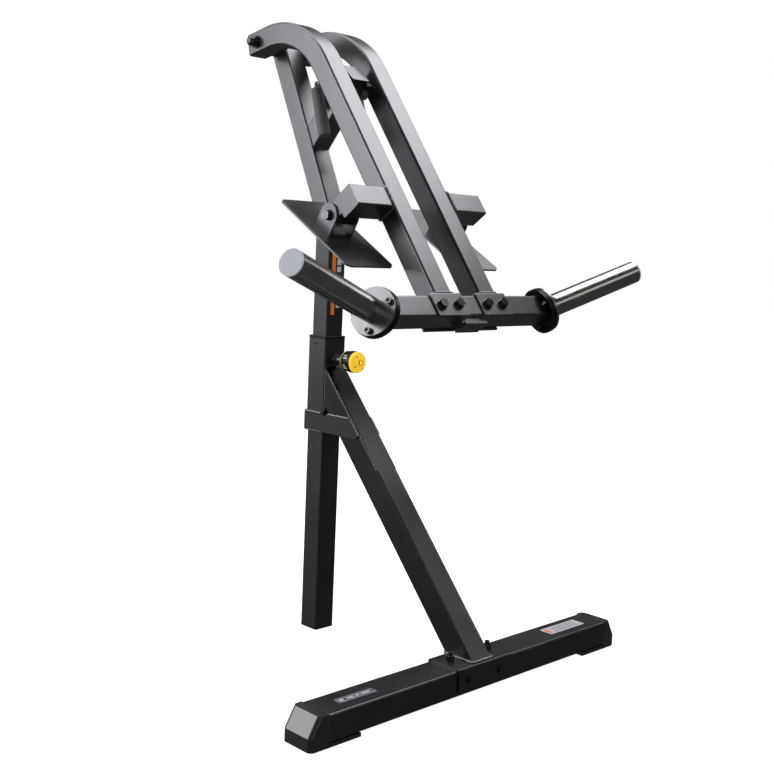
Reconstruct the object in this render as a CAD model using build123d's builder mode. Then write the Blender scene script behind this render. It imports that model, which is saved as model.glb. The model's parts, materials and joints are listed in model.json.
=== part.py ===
# Hack squat machine: T-base stand with a telescoping column, a mast that leans
# to the rear, and a pair of gooseneck levers carrying shoulder pad plates and
# two plate-loading horns.
# Frame: origin on the floor at the axis of the rear post, -Y to the front, +Z up,
# left (-X) and right (+X) as seen from the front.  Millimetres.
# Pairs of numbers for points and directions are (y, z) unless a comment says otherwise.
from build123d import *
import os
from math import sin, cos, radians, sqrt

os.makedirs("parts", exist_ok=True)

# ================================================================ dimensions
SIGNS = (-1, 1)
SIDES = (("left", -1), ("right", 1))
FRONT = (-1, 0)                  # direction (y, z)
GAP = 0.02                       # left between pieces that touch
FIT = 0.05                       # looser gap between mating faces

# base crossbar
BASE_Y = -488.0                  # crossbar axis in front of the post
BASE_W, BASE_H, BASE_WALL = 80.0, 55.0, 3.0
BASE_Z0 = 8.0                    # underside above the floor
BASE_TOP = BASE_Z0 + BASE_H
BASE_MID = (BASE_Y, BASE_Z0 + BASE_H / 2)
BASE_HALF = 424.0                # half length of the steel tube

# brace
BRACE_W, BRACE_WALL = 60.0, 2.5
BRACE_FOOT = (-527.0, 62.3)      # a point of the brace's front face
BRACE_DIR = (0.6604, 0.7509)     # up the brace
BRACE_REAR = (BRACE_DIR[1], -BRACE_DIR[0])

# post, sleeve and pop-pin
POST_W, POST_WALL, POST_TOP = 55.0, 2.0, 600.0
POST_IN = POST_W - 2 * POST_WALL
SLEEVE_W, SLEEVE_IN, SLEEVE_Z0, SLEEVE_TOP = 61.0, 55.1, 476.0, 690.0
PIN_Z = 643.5

# column and mast, which share one square tube
COL_W, COL_WALL, COL_Z0 = 50.0, 2.5, 400.0
COL_IN = COL_W - 2 * COL_WALL
KINK_Z = 967.6                   # centre lines of column and mast meet here
MAST_DIR = (0.4272, 0.9042)      # up the mast
MITRE_NORMAL = Vector(0, MAST_DIR[0], 1 + MAST_DIR[1]).normalized()

# pivot
PIVOT = (180.5, 1362.5)
PIVOT_R = 8.0
BARREL_R, BARREL_HALF = 25.0, 40.0

# lever pair
LEVER_X = 67.75                  # centre of each lever tube
LEVER_W, LEVER_WALL = 50.0, 2.5
LEVER_DOWN = (-0.59158, -0.80624)
LEVER_UP = (-LEVER_DOWN[0], -LEVER_DOWN[1])
LEVER_REAR = (0.80624, -0.59158)
LEVER_REF = (148.2, 1600.0)      # reference point of the lever's front face
LEVER_OUTER_X = LEVER_X + LEVER_W / 2
LEVER_INNER_X = LEVER_X - LEVER_W / 2
GOOSE_START = (207.4, 1357.5)    # rear end of the gooseneck
GOOSE_DIR = (-0.98160, 0.19095)  # forward along its upper run
GOOSE_BEND_R = 185.0

# lever crossbar
BAR_ALONG = 998.0                # its centre down the lever from LEVER_REF
BAR_W, BAR_WALL = 50.0, 2.5
BAR_SADDLE_T = 4.0
BAR_BOLT_X = [sign * LEVER_X + dx for sign in SIGNS for dx in (-24, 24)]

# horns
HORN_ROOT_X = 250.7
HORN_DIR = Vector(0.9213, -0.2121, 0.3259).normalized()      # right horn, outward
HORN_R, HORN_LEN = 25.0, 283.5
HORN_CAP_T = 3.48
FLANGE_R, FLANGE_HALF_T = 50.5, 6.0
HORN_BASE_TOP = 12.0             # outer face of the horn's base disc, along the horn
SCREW_CIRCLE_R, SCREW_ANGLES = 39.5, (180, 60, -60)
SCREW_HOLE_R = 4.3

# pads
PAD_ALONG, PAD_BEHIND = 727.0, 82.0      # pad pivot on the lever
PAD_TILT = 30.7
PAD_X0, PAD_X1 = 100.0, 230.0
PAD_REAR, PAD_FRONT = 118.5, 136.2       # plate's reach from the pivot
PAD_DROP, PAD_T = 35.0, 4.0              # plate's distance from the pivot, thickness
ARM_OUTER_X = 194.0                      # outer end of the side arms
EAR_OUTER, EAR_INNER = (195.0, 199.0), (136.0, 140.0)        # x of the clevis ears
EAR_R = 25.0
PAD_SCREWS = ((-18, 146), (18, 146), (-18, 188), (18, 188))  # (along the plate, x)
PAD_SCREW_HOLE_R = 3.2


# =================================================================== helpers
def shift(point, direction, distance):
    """A (y, z) point moved along a (y, z) direction."""
    return (point[0] + direction[0] * distance, point[1] + direction[1] * distance)


def lever_point(along, behind):
    """Point down the lever from LEVER_REF and behind its front face."""
    return shift(shift(LEVER_REF, LEVER_DOWN, along), LEVER_REAR, behind)


def side_plane(x, point=(0, 0), facing=1):
    """Plane facing +X or -X, with local x along +Y."""
    return Plane(origin=(x, *point), x_dir=(0, 1, 0), z_dir=(facing, 0, 0))


def cross_plane(x, point, normal):
    """Plane facing a (y, z) direction, with local x along +X."""
    return Plane(origin=(x, *point), x_dir=(1, 0, 0), z_dir=(0, *normal))


def tube_section(width, height, wall, outer_radius, inner_radius):
    """Draw a rounded box section in the current sketch."""
    RectangleRounded(width, height, outer_radius)
    RectangleRounded(width - 2 * wall, height - 2 * wall, inner_radius, mode=Mode.SUBTRACT)


def cylinder(plane, radius, length, hole=0.0, mode=Mode.ADD):
    """Add a round bar, or a round tube if it has a hole, to the current part."""
    with BuildPart(mode=Mode.PRIVATE) as bar:
        with BuildSketch(plane):
            Circle(radius)
            if hole:
                Circle(hole, mode=Mode.SUBTRACT)
        extrude(amount=length)
    add(bar.part, mode=mode)


def bore(plane, radius, depth):
    """Cut a round hole in the current part."""
    cylinder(plane, radius, depth, mode=Mode.SUBTRACT)


def hexagon(plane, flats, length, mode=Mode.ADD):
    """Add a hexagonal bar, sized across its flats, to the current part."""
    with BuildPart(mode=Mode.PRIVATE) as bar:
        with BuildSketch(plane):
            RegularPolygon(flats / 2, 6, major_radius=False)
        extrude(amount=length)
    add(bar.part, mode=mode)


def hex_bolt(origin, axis, shank_radius, shank_length, flats, head_height,
             washer_radius=0.0, washer_thickness=0.0):
    """Add a bolt: head at origin standing out along axis, shank running back."""
    plane = Plane(origin=origin, z_dir=axis)
    with BuildPart(mode=Mode.PRIVATE) as bolt:
        if washer_radius:
            cylinder(plane, washer_radius, washer_thickness)
        hexagon(plane.offset(washer_thickness), flats, head_height)
        cylinder(plane, shank_radius, -shank_length)
    add(bolt.part)


def hex_nut(origin, axis, bore_radius, flats, height,
            washer_radius=0.0, washer_thickness=0.0):
    """Add a nut, with an optional washer under it, standing out along axis."""
    plane = Plane(origin=origin, z_dir=axis)
    with BuildPart(mode=Mode.PRIVATE) as nut:
        if washer_radius:
            cylinder(plane, washer_radius, washer_thickness)
        hexagon(plane.offset(washer_thickness), flats, height)
        bore(plane.offset(-1), bore_radius, height + washer_thickness + 2)
    add(nut.part)


def save(piece, name):
    piece.part.label = name
    export_step(piece.part, "parts/%s.step" % name)


# ================================================================= the stand
with BuildPart() as saddle_hole_check_free_base:
    pass

SADDLE_T, SADDLE_HALF, SADDLE_Z0 = 4.0, 80.0, 20.0
SIDE_BOLT_X, SIDE_BOLT_Z, SIDE_BOLT_R = 47.0, BASE_Z0 + 32, 4.0
TOP_BOLT_X, TOP_BOLT_Y, TOP_BOLT_R = 58.0, BASE_Y + 4.0, 5.0


def cut_saddle_holes():
    """Holes of the two horizontal and two upright saddle bolts."""
    for sign in SIGNS:
        side_hole = cross_plane(sign * SIDE_BOLT_X, (BASE_Y + 60, SIDE_BOLT_Z), FRONT)
        bore(side_hole, SIDE_BOLT_R + 0.5, 120)
        bore(Plane((sign * TOP_BOLT_X, TOP_BOLT_Y, BASE_TOP - 10)), TOP_BOLT_R + 0.5, 20)


with BuildPart() as base_crossbar:
    with BuildSketch(side_plane(-BASE_HALF, BASE_MID)):
        tube_section(BASE_W, BASE_H, BASE_WALL, 6, 3)
    extrude(amount=2 * BASE_HALF)
    cut_saddle_holes()
save(base_crossbar, "base_crossbar")

# end caps, each with a foot that reaches in under the tube
CAP_HALF = 468.0                 # half length of the base over the caps
CAP_FOOT_X = 344.0               # inner end of the foot
CAP_TOP_X = 446.5                # outer end of the flat top
CAP_NOSE_Z = 26.0                # top of the upright nose
CAP_SIDE = 0.2                   # overhang beyond each side of the tube
SPIGOT_W = BASE_W - 2 * BASE_WALL
SPIGOT_H = BASE_H - 2 * BASE_WALL


def is_cap_nose_edge(edge):
    """Side edge of the nose or of the slanted facet above it."""
    centre = edge.center()
    on_side = abs(abs(centre.Y - BASE_Y) - (BASE_W / 2 + CAP_SIDE)) < 0.5
    return abs(centre.X) > 450 and edge.length > 20 and on_side and 5 < centre.Z < 60


for side, sign in SIDES:
    with BuildPart() as base_end_cap:
        with BuildSketch(cross_plane(0, (BASE_Y + BASE_W / 2 + CAP_SIDE, 0), FRONT)):
            with BuildLine():
                Polyline(
                    (sign * CAP_FOOT_X, 0),
                    (sign * CAP_FOOT_X, BASE_Z0 - FIT),
                    (sign * (BASE_HALF + FIT), BASE_Z0 - FIT),
                    (sign * (BASE_HALF + FIT), BASE_TOP + 0.1),
                    (sign * CAP_TOP_X, BASE_TOP + 0.1),
                    (sign * CAP_HALF, CAP_NOSE_Z),
                    (sign * CAP_HALF, 0),
                    (sign * CAP_FOOT_X, 0),
                )
            make_face()
        extrude(amount=BASE_W + 2 * CAP_SIDE)
        fillet(base_end_cap.edges().filter_by(is_cap_nose_edge), 11)
        # hollow spigot that plugs into the tube
        with BuildSketch(side_plane(sign * (BASE_HALF + 1), BASE_MID, -sign)):
            RectangleRounded(SPIGOT_W - 0.2, SPIGOT_H - 0.2, 3)
        extrude(amount=36)
        with BuildSketch(side_plane(sign * (BASE_HALF + 12), BASE_MID, -sign)):
            RectangleRounded(SPIGOT_W - 8, SPIGOT_H - 8, 2)
        extrude(amount=80, mode=Mode.SUBTRACT)
    save(base_end_cap, "base_end_cap_" + side)

# inverted U over the middle of the crossbar
with BuildPart() as brace_saddle:
    inner = BASE_W / 2 + FIT
    outer = BASE_W / 2 + SADDLE_T
    top = BASE_TOP + SADDLE_T
    with BuildSketch(side_plane(-SADDLE_HALF, (BASE_Y, 0))):
        with BuildLine():
            Polyline(
                (-inner, SADDLE_Z0), (-inner, BASE_TOP + FIT),
                (inner, BASE_TOP + FIT), (inner, SADDLE_Z0),
                (outer, SADDLE_Z0), (outer, top),
                (-outer, top), (-outer, SADDLE_Z0),
                close=True,
            )
        make_face()
    extrude(amount=2 * SADDLE_HALF)
    top_corners = brace_saddle.edges().filter_by(Axis.X).filter_by(
        lambda edge: abs(edge.center().Z - top) < 0.1)
    fillet(top_corners, 5)
    cut_saddle_holes()
save(brace_saddle, "brace_saddle")

with BuildPart() as saddle_bolts:
    for sign in SIGNS:
        hex_bolt((sign * SIDE_BOLT_X, BASE_Y - BASE_W / 2 - SADDLE_T - GAP, SIDE_BOLT_Z),
                 (0, -1, 0), SIDE_BOLT_R, BASE_W + 2 * SADDLE_T + 13,
                 flats=13, head_height=5.5)
        # the upright ones have their heads inside the tube
        hex_bolt((sign * TOP_BOLT_X, TOP_BOLT_Y, BASE_TOP - BASE_WALL - GAP),
                 (0, 0, -1), TOP_BOLT_R, SADDLE_T + BASE_WALL + 19,
                 flats=16, head_height=6.5)
save(saddle_bolts, "saddle_bolts")

with BuildPart() as saddle_nuts:
    for sign in SIGNS:
        hex_nut((sign * SIDE_BOLT_X, BASE_Y + BASE_W / 2 + SADDLE_T, SIDE_BOLT_Z),
                (0, 1, 0), SIDE_BOLT_R, flats=13, height=6.5,
                washer_radius=8, washer_thickness=1.6)
        hex_nut((sign * TOP_BOLT_X, TOP_BOLT_Y, BASE_TOP + SADDLE_T),
                (0, 0, 1), TOP_BOLT_R, flats=16, height=10,
                washer_radius=10, washer_thickness=1.6)
save(saddle_nuts, "saddle_nuts")

# made over-long, then cut on the saddle's top and the sleeve's front face
with BuildPart() as brace_tube:
    start = shift(shift(BRACE_FOOT, BRACE_REAR, BRACE_W / 2), BRACE_DIR, -120)
    with BuildSketch(cross_plane(0, start, BRACE_DIR)):
        tube_section(BRACE_W, BRACE_W, BRACE_WALL, 5, 2.5)
    extrude(amount=1100)
    split(bisect_by=Plane.XY.offset(BASE_TOP + SADDLE_T + GAP), keep=Keep.TOP)
    split(bisect_by=Plane(origin=(0, -SLEEVE_W / 2 - GAP, 0), z_dir=(0, -1, 0)), keep=Keep.TOP)
save(brace_tube, "brace_tube")

FOOT_PLUG_T = 5.0
with BuildPart() as rear_post:
    with BuildSketch(Plane.XY.offset(FOOT_PLUG_T)):
        tube_section(POST_W, POST_W, POST_WALL, 4, 2)
    extrude(amount=POST_TOP - FOOT_PLUG_T)
save(rear_post, "rear_post")

with BuildPart() as post_foot_plug:
    with BuildSketch(Plane.XY):
        RectangleRounded(POST_W, POST_W, 4)
    extrude(amount=FOOT_PLUG_T)
    with BuildSketch(Plane.XY.offset(FOOT_PLUG_T)):
        RectangleRounded(POST_IN - 0.1, POST_IN - 0.1, 2)
        RectangleRounded(POST_IN - 8, POST_IN - 8, 1, mode=Mode.SUBTRACT)
    extrude(amount=25)
save(post_foot_plug, "post_foot_plug")

PIN_BORE = cross_plane(0, (-10, PIN_Z), FRONT)       # through the front walls only
with BuildPart() as post_sleeve:
    with BuildSketch(Plane.XY.offset(SLEEVE_Z0)):
        tube_section(SLEEVE_W, SLEEVE_W, (SLEEVE_W - SLEEVE_IN) / 2, 5, 4)
    extrude(amount=SLEEVE_TOP - SLEEVE_Z0)
    bore(PIN_BORE, 9.0, 30)
    # set-screw hole in the left wall
    bore(side_plane(-20, (3, 677), -1), 3.0, 20)
save(post_sleeve, "post_sleeve")

# lining between sleeve and column, with a flange on top of the sleeve
with BuildPart() as sleeve_bush:
    skirt_z0 = POST_TOP + 6
    with BuildSketch(Plane.XY.offset(SLEEVE_TOP)):
        RectangleRounded(61.6, 61.6, 5.2)
    extrude(amount=6.5)
    with BuildSketch(Plane.XY.offset(skirt_z0)):
        RectangleRounded(SLEEVE_IN - 0.1, SLEEVE_IN - 0.1, 4)
    extrude(amount=SLEEVE_TOP - skirt_z0)
    fillet(sleeve_bush.edges().group_by(Axis.Z)[-1], 1.5)
    with BuildSketch(Plane.XY.offset(POST_TOP)):
        RectangleRounded(COL_W + 0.12, COL_W + 0.12, 3.9)
    extrude(amount=120, mode=Mode.SUBTRACT)
    bore(PIN_BORE, 9.2, 30)
save(sleeve_bush, "sleeve_bush")

# U round the back of the sleeve, with cheeks reaching forward to the brace
BAND_IN = SLEEVE_W / 2 + FIT
BAND_OUT = BAND_IN + 3.5
BAND_REACH, BAND_H = 170.0, 42.0
with BuildPart() as collar_band:
    with BuildSketch(Plane.XY.offset(SLEEVE_Z0)):
        with BuildLine():
            Polyline(
                (-BAND_IN, -BAND_REACH), (-BAND_IN, BAND_IN),
                (BAND_IN, BAND_IN), (BAND_IN, -BAND_REACH),
                (BAND_OUT, -BAND_REACH), (BAND_OUT, BAND_OUT),
                (-BAND_OUT, BAND_OUT), (-BAND_OUT, -BAND_REACH),
                close=True,
            )
        make_face()
    extrude(amount=BAND_H)
    rear_corners = collar_band.edges().filter_by(Axis.Z).filter_by(
        lambda edge: abs(edge.center().Y - BAND_OUT) < 0.1)
    fillet(rear_corners, 3)
    # both cheeks end 1 mm behind the brace's front face
    cheek_end = shift(BRACE_FOOT, BRACE_REAR, 1.0)
    split(bisect_by=Plane(origin=(0, *cheek_end), z_dir=(0, *BRACE_REAR)), keep=Keep.TOP)
    # the lower front corner of each cheek is cut back
    with BuildSketch(side_plane(-60)):
        with BuildLine():
            Polyline((-185, SLEEVE_Z0 - 2), (-141, SLEEVE_Z0 - 2),
                     (-160, SLEEVE_Z0 + 12), (-185, SLEEVE_Z0 + 12), close=True)
        make_face()
    extrude(amount=120, mode=Mode.SUBTRACT)
    # rounded relief in the top edge, between post and brace
    bore(side_plane(-60, (-38, SLEEVE_Z0 + BAND_H)), 4, 120)
save(collar_band, "collar_band")

STOP_Z0, STOP_T = 360.0, 10.0
with BuildPart() as column_stop:
    with BuildSketch(Plane.XY.offset(STOP_Z0)):
        RectangleRounded(POST_IN - 0.1, POST_IN - 0.1, 2)
        Circle(12, mode=Mode.SUBTRACT)
    extrude(amount=STOP_T)
save(column_stop, "column_stop")

# =================================================================== pop-pin
PIN_ROD_R, PIN_NOSE_R = 4.0, 6.0
with BuildPart() as pin_housing:
    rear_face = cross_plane(0, (-27.6, PIN_Z), FRONT)
    cylinder(rear_face, 8.95, 52.4)
    hexagon(rear_face.offset(2.95), 26, 9)
    bore(rear_face.offset(-0.1), PIN_NOSE_R + FIT, 46.5)
    bore(rear_face, PIN_ROD_R + FIT, 60)
save(pin_housing, "pin_housing")

with BuildPart() as pin_shaft:
    rear_face = cross_plane(0, (-26.2, PIN_Z), FRONT)
    cylinder(rear_face, PIN_NOSE_R, 23.8)
    chamfer(pin_shaft.edges().group_by(Axis.Y)[-1], 1.2)
    cylinder(rear_face, PIN_ROD_R, 79.8)
save(pin_shaft, "pin_shaft")

with BuildPart() as pin_spring:
    with BuildLine() as coil:
        Helix(pitch=3.8, height=22.0, radius=5.02,
              center=(0, -51.0, PIN_Z), direction=(0, -1, 0))
    coil_wire = coil.wires()[0]
    with BuildSketch(Plane(origin=coil_wire @ 0, z_dir=coil_wire % 0)):
        Circle(0.65)
    sweep(path=coil_wire, is_frenet=True)
save(pin_spring, "pin_spring")

# turned profiles: (distance in front of the post axis, radius)
KNOB_PROFILE_PLANE = Plane(origin=(0, 0, PIN_Z), x_dir=(0, -1, 0), z_dir=(1, 0, 0))
KNOB_AXIS = Axis((0, 0, PIN_Z), (0, 1, 0))

with BuildPart() as knob_body:
    with BuildSketch(KNOB_PROFILE_PLANE):
        with BuildLine():
            Polyline((72, 9.6), (72, 21.2), (76.4, 21.2))
            Spline((76.4, 21.2), (84, 24.2), (94, 25.0), (103.5, 24.2))
            Polyline((103.5, 24.2), (103.5, 4.0), (95.5, 4.0), (95.5, 9.6), (72, 9.6))
        make_face()
    revolve(axis=KNOB_AXIS)
save(knob_body, "knob_body")

with BuildPart() as knob_ring:
    cylinder(cross_plane(0, (-72.2, PIN_Z), FRONT), 23.2, 3.6, hole=21.25)
save(knob_ring, "knob_ring")

with BuildPart() as knob_cap:
    with BuildSketch(KNOB_PROFILE_PLANE):
        with BuildLine():
            Polyline((106.3, 0), (106.3, 4.2), (103.6, 4.2), (103.6, 24.3), (106.5, 24.3))
            Spline((106.5, 24.3), (112.5, 19.5), (116.8, 10), (117.6, 0),
                   tangents=((1, -0.15), (0, -1)))
            Line((117.6, 0), (106.3, 0))
        make_face()
    revolve(axis=KNOB_AXIS)
    # square recess in the crown
    with BuildSketch(cross_plane(0, (-113.6, PIN_Z), FRONT)):
        RectangleRounded(7, 7, 1)
    extrude(amount=10, mode=Mode.SUBTRACT)
save(knob_cap, "knob_cap")

# =========================================================== column and mast
HOLE_PITCH, HOLE_COUNT, HOLE_R = 50.0, 4, 6.4
with BuildPart() as inner_column:
    with BuildSketch(Plane.XY.offset(COL_Z0)):
        tube_section(COL_W, COL_W, COL_WALL, 4, 2)
    extrude(amount=640)
    split(bisect_by=Plane(origin=(0, 0, KINK_Z), z_dir=MITRE_NORMAL), keep=Keep.BOTTOM)
    # height-setting holes in the front wall
    for i in range(HOLE_COUNT):
        bore(cross_plane(0, (-15, PIN_Z - HOLE_PITCH * i), FRONT), HOLE_R, 15)
save(inner_column, "inner_column")

with BuildPart() as column_glide:
    glide_z0 = STOP_Z0 + STOP_T + FIT
    with BuildSketch(Plane.XY.offset(glide_z0)):
        RectangleRounded(POST_IN - 0.12, POST_IN - 0.12, 2.2)
    extrude(amount=COL_Z0 - glide_z0)
    with BuildSketch(Plane.XY.offset(COL_Z0)):
        RectangleRounded(COL_IN - 0.1, COL_IN - 0.1, 2)
    extrude(amount=30)
    bore(Plane.XY.offset(STOP_Z0 + STOP_T), 14, 80)
save(column_glide, "column_glide")

with BuildPart() as mast_tube:
    below_kink = 40                      # extra length for the mitre
    with BuildSketch(cross_plane(0, shift((0, KINK_Z), MAST_DIR, -below_kink), MAST_DIR)):
        tube_section(COL_W, COL_W, COL_WALL, 4, 2)
    extrude(amount=below_kink + 432)
    split(bisect_by=Plane(origin=(0, 0, KINK_Z + GAP), z_dir=MITRE_NORMAL), keep=Keep.TOP)
    # fish mouth for the pivot barrel
    bore(side_plane(-40, PIVOT), BARREL_R + 0.03, 80)
save(mast_tube, "mast_tube")

with BuildPart() as pivot_barrel:
    cylinder(side_plane(-BARREL_HALF, PIVOT), BARREL_R, 2 * BARREL_HALF, hole=14)
save(pivot_barrel, "pivot_barrel")

with BuildPart() as pivot_bushes:
    bush_hole = PIVOT_R + 0.06
    for sign in SIGNS:
        cylinder(side_plane(sign * 10, PIVOT, sign), 13.98, 30, hole=bush_hole)
        cylinder(side_plane(sign * BARREL_HALF, PIVOT, sign), 20, 1.4, hole=bush_hole)
save(pivot_bushes, "pivot_bushes")

# ============================================================= hand-grip arm
GRIP_ARM_DIR = (-0.655, 0.7556)          # up the arm
GRIP_ARM_ROOT = (64.5, 1138.7)           # its centre line crosses the mast here
GRIP_ARM_LEN = 194.8                     # from there to the outside of the end plate
GRIP_ARM_W, GRIP_ARM_WALL = 50.0, 2.5
GRIP_ARM_CAP_T = 4.0
MAST_FRONT = (-MAST_DIR[1], MAST_DIR[0])
MAST_FRONT_POINT = (58.45, 1150)         # on the mast's front face
ROLLER = (-51.0, 1245.2)                 # stop rollers on the arm's cheeks
ROLLER_R, STUD_R = 13.0, 4.5


def grip_arm_plane(distance):
    """Plane across the grip arm, at a distance up it from GRIP_ARM_ROOT."""
    return cross_plane(0, shift(GRIP_ARM_ROOT, GRIP_ARM_DIR, distance), GRIP_ARM_DIR)


with BuildPart() as grip_arm:
    with BuildSketch(grip_arm_plane(-70)):
        tube_section(GRIP_ARM_W, GRIP_ARM_W, GRIP_ARM_WALL, 4, 2)
    extrude(amount=70 + GRIP_ARM_LEN - GRIP_ARM_CAP_T - GAP)
    # root cut on the mast's front face
    split(bisect_by=Plane(origin=(0, *MAST_FRONT_POINT), z_dir=(0, *MAST_FRONT)), keep=Keep.TOP)
    bore(side_plane(-40, ROLLER), STUD_R + GAP, 80)
save(grip_arm, "grip_arm")

with BuildPart() as grip_arm_cap:
    with BuildSketch(grip_arm_plane(GRIP_ARM_LEN - GRIP_ARM_CAP_T)):
        RectangleRounded(GRIP_ARM_W, GRIP_ARM_W, 4)
    extrude(amount=GRIP_ARM_CAP_T)
save(grip_arm_cap, "grip_arm_cap")

# stud through both cheeks, and a rubber roller on each end for the levers to rest on
with BuildPart() as stop_stud:
    cylinder(side_plane(-41, ROLLER), STUD_R, 82)
    chamfer(stop_stud.edges().filter_by(GeomType.CIRCLE), 0.8)
save(stop_stud, "stop_stud")

with BuildPart() as stop_rollers:
    for sign in SIGNS:
        roller_plane = side_plane(sign * (GRIP_ARM_W / 2 + 0.06), ROLLER, sign)
        cylinder(roller_plane, ROLLER_R, 16.4, hole=STUD_R + 0.03)
    rims = stop_rollers.edges().filter_by(GeomType.CIRCLE).filter_by(
        lambda edge: abs(edge.radius - ROLLER_R) < 0.1)
    fillet(rims, 2)
save(stop_rollers, "stop_rollers")

# bent rods from the arm's cheeks up to a tight hook, then down through the rubber grips
GRIP_X = 60.0
GRIP_TOP, GRIP_BOTTOM = (-1.0, 1254.0), (-34.0, 1147.0)
GRIP_R, GRIP_ROD_R = 14.0, 5.0
ROD_ROOT = (-3.0, 1213.0)                # where the rods meet the cheeks


def grip_line(sign):
    """Top, bottom and unit downward direction of one grip."""
    top = Vector(sign * GRIP_X, *GRIP_TOP)
    bottom = Vector(sign * GRIP_X, *GRIP_BOTTOM)
    return top, bottom, (bottom - top).normalized()


with BuildPart() as grip_rods:
    for sign in SIGNS:
        grip_top, grip_bottom, down = grip_line(sign)
        root = Vector(sign * GRIP_ARM_W / 2, *ROD_ROOT)
        hook = grip_top - down * 35
        start = root + (root - hook).normalized() * 9
        tip = grip_bottom - down * 2
        with BuildLine() as path:
            FilletPolyline(start, hook, tip, radius=8)
        rod_line = path.wires()[0]
        with BuildSketch(Plane(origin=rod_line @ 0, z_dir=rod_line % 0)):
            Circle(GRIP_ROD_R)
        sweep(path=rod_line)
    # trim the roots on the arm's cheeks
    with Locations((0, *ROD_ROOT)):
        Box(GRIP_ARM_W + 0.04, 60, 60, mode=Mode.SUBTRACT)
save(grip_rods, "grip_rods")

with BuildPart() as hand_grips:
    for sign in SIGNS:
        grip_top, grip_bottom, down = grip_line(sign)
        length = (grip_bottom - grip_top).length
        plane = Plane(origin=grip_top + down * 5, x_dir=(1, 0, 0), z_dir=down)
        cylinder(plane, GRIP_R, length - 1)
        bore(plane, GRIP_ROD_R + GAP, length - 6.5)
    rims = hand_grips.edges().filter_by(GeomType.CIRCLE).filter_by(
        lambda edge: abs(edge.radius - GRIP_R) < 0.1)
    fillet(rims, 3)
save(hand_grips, "hand_grips")


# ================================================================ the levers
def goose_corner():
    """Corner where the two straight runs of the lever's centre line would meet."""
    straight = lever_point(0, LEVER_W / 2)
    gap_y = straight[0] - GOOSE_START[0]
    gap_z = straight[1] - GOOSE_START[1]
    determinant = GOOSE_DIR[1] * LEVER_DOWN[0] - GOOSE_DIR[0] * LEVER_DOWN[1]
    distance = (gap_z * LEVER_DOWN[0] - gap_y * LEVER_DOWN[1]) / determinant
    return shift(GOOSE_START, GOOSE_DIR, distance)


GOOSE_CORNER = goose_corner()
LEVER_END = lever_point(BAR_ALONG - BAR_W / 2 - BAR_SADDLE_T - FIT, LEVER_W / 2)

for side, sign in SIDES:
    x = sign * LEVER_X
    with BuildPart() as lever_tube:
        with BuildLine() as path:
            FilletPolyline((x, *GOOSE_START), (x, *GOOSE_CORNER), (x, *LEVER_END),
                           radius=GOOSE_BEND_R)
        centre_line = path.wires()[0]
        with BuildSketch(Plane(origin=centre_line @ 0, x_dir=(1, 0, 0), z_dir=centre_line % 0)):
            tube_section(LEVER_W, LEVER_W, LEVER_WALL, 5, 2.5)
        sweep(path=centre_line)
        bore(side_plane(x - 40, PIVOT), PIVOT_R + 0.05, 80)
    save(lever_tube, "lever_tube_" + side)

with BuildPart() as lever_end_plugs:
    plug_point = (GOOSE_START[0] + GAP, GOOSE_START[1])
    plug_in = LEVER_W - 2 * LEVER_WALL - 0.3
    for sign in SIGNS:
        plane = cross_plane(sign * LEVER_X, plug_point, (-GOOSE_DIR[0], -GOOSE_DIR[1])).offset(FIT)
        with BuildSketch(plane):
            RectangleRounded(LEVER_W - 0.4, LEVER_W - 0.4, 5)
        extrude(amount=2.2)
        with BuildSketch(plane):
            RectangleRounded(plug_in, plug_in, 2)
        extrude(amount=-10)
save(lever_end_plugs, "lever_end_plugs")

# pivot bolt with its head on the right and a domed nut on the left
PIVOT_HEAD_X = LEVER_OUTER_X + 2.52
PIVOT_FLATS = 24.0
with BuildPart() as pivot_bolt:
    hex_bolt((PIVOT_HEAD_X, *PIVOT), (1, 0, 0), PIVOT_R, 2 * PIVOT_HEAD_X + 12.5,
             flats=PIVOT_FLATS, head_height=10)
save(pivot_bolt, "pivot_bolt")

with BuildPart() as pivot_washers:
    # (inner x, thickness)
    washers = ((LEVER_OUTER_X + GAP, 2.48), (LEVER_INNER_X - 1.22, 1.2))
    for sign in SIGNS:
        for x, thickness in washers:
            cylinder(side_plane(sign * x, PIVOT, sign), 15, thickness, hole=PIVOT_R + GAP)
save(pivot_washers, "pivot_washers")

with BuildPart() as pivot_nut:
    plane = side_plane(-PIVOT_HEAD_X, PIVOT, -1)
    hexagon(plane, PIVOT_FLATS, 10)
    cylinder(plane.offset(9.5), 11, 11)
    fillet(pivot_nut.edges().group_by(Axis.X)[0], 7.5)
    bore(plane, PIVOT_R, 13)
save(pivot_nut, "pivot_nut")

# lugs on the inside of the levers that come down on the stop rollers
LUG_X = 28.0
LUG_W, LUG_H = 24.0, 10.0
with BuildPart() as stop_lugs:
    reach_y, reach_z = PIVOT[0] - ROLLER[0], PIVOT[1] - ROLLER[1]
    reach = sqrt(reach_y ** 2 + reach_z ** 2)
    travel = (reach_z / reach, -reach_y / reach)     # way the levers move down there
    contact = shift(ROLLER, travel, -(ROLLER_R + 0.15))
    for sign in SIGNS:
        plane = Plane(origin=(sign * LUG_X, *contact),
                      x_dir=(0, -sign * travel[1], sign * travel[0]), z_dir=(sign, 0, 0))
        with BuildSketch(plane):
            with Locations((0, LUG_H / 2)):
                RectangleRounded(LUG_W, LUG_H, 2)
        extrude(amount=LEVER_INNER_X - LUG_X - GAP)
save(stop_lugs, "stop_lugs")

# ============================================================ lever crossbar
BAR = lever_point(BAR_ALONG, LEVER_W / 2)
BAR_BOLT_R, BAR_BOLT_FLATS = 6.0, 19.0
BAR_BOLT_SEAT = 29.04            # bolt and nut seats, in front of and behind BAR


def bar_plane(x):
    """Plane across the crossbar: local x is the lever's rear normal, local y up the lever."""
    return Plane(origin=(x, *BAR), x_dir=(0, *LEVER_REAR), z_dir=(1, 0, 0))


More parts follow.
